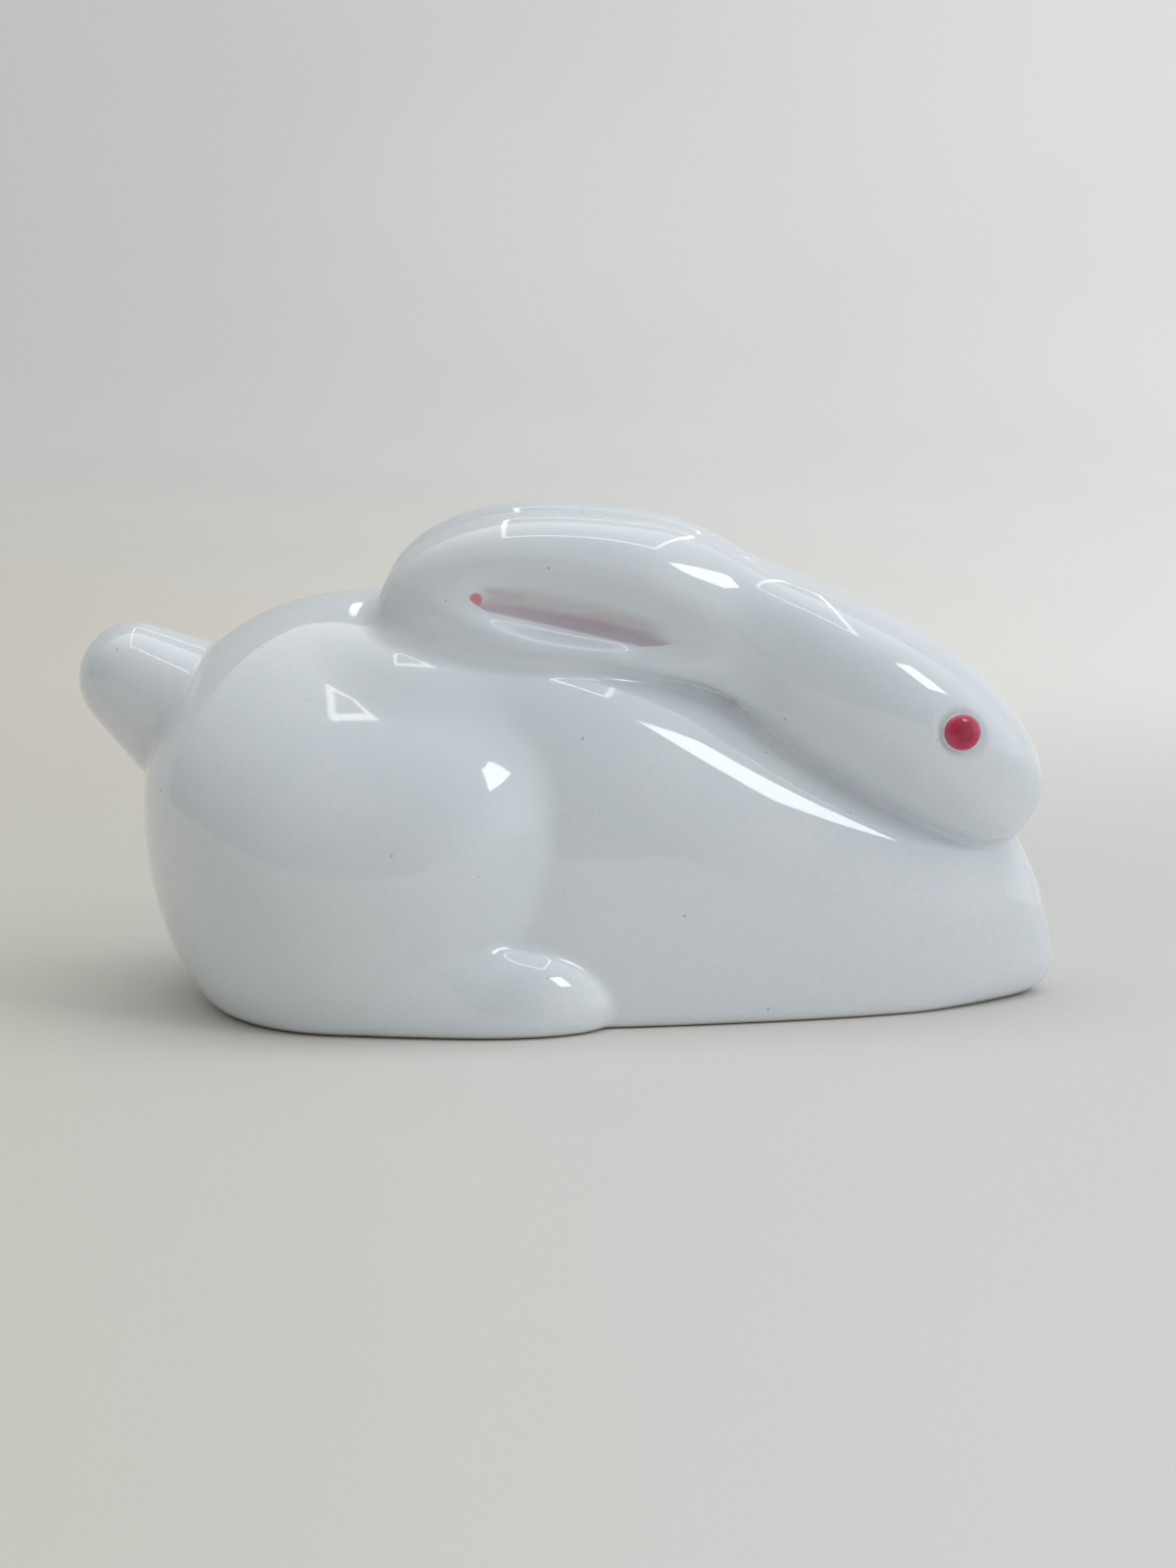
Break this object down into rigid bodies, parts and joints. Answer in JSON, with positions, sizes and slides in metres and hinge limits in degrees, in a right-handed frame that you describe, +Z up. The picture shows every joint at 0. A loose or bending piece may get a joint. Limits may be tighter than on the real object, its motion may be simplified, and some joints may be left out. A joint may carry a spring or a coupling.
{
  "type": "ceramic rabbit figurine",
  "caption": "Crouching white glazed ceramic rabbit with ears laid back, red domed eyes and pink ear flutes, made to stand on a shelf as an ornament.",
  "frame": {"origin": "centre of the bounding box on the table, at mid-length and mid-width", "axes": "+X towards the nose, +Y to the rabbit's left, +Z up"},
  "size_m": [0.18, 0.086, 0.09],
  "materials": {
    "white_glaze": "high gloss transparent glaze over a white body",
    "eye_glaze": "high gloss, stained pink where the enamel thins",
    "red_enamel": "glossy fired enamel",
    "pink_enamel": "glossy fired enamel, thinly sprayed"
  },
  "bodies": {
    "root": {"hindquarters": "white_glaze", "forequarters": "white_glaze", "head": "white_glaze", "tail": "white_glaze", "left_ear": "white_glaze", "right_ear": "white_glaze", "left_hind_foot": "white_glaze", "right_hind_foot": "white_glaze", "left_eye": "eye_glaze", "right_eye": "eye_glaze", "left_eye_enamel": "red_enamel", "right_eye_enamel": "red_enamel", "left_ear_enamel": "pink_enamel", "right_ear_enamel": "pink_enamel"}
  },
  "joints": []
}
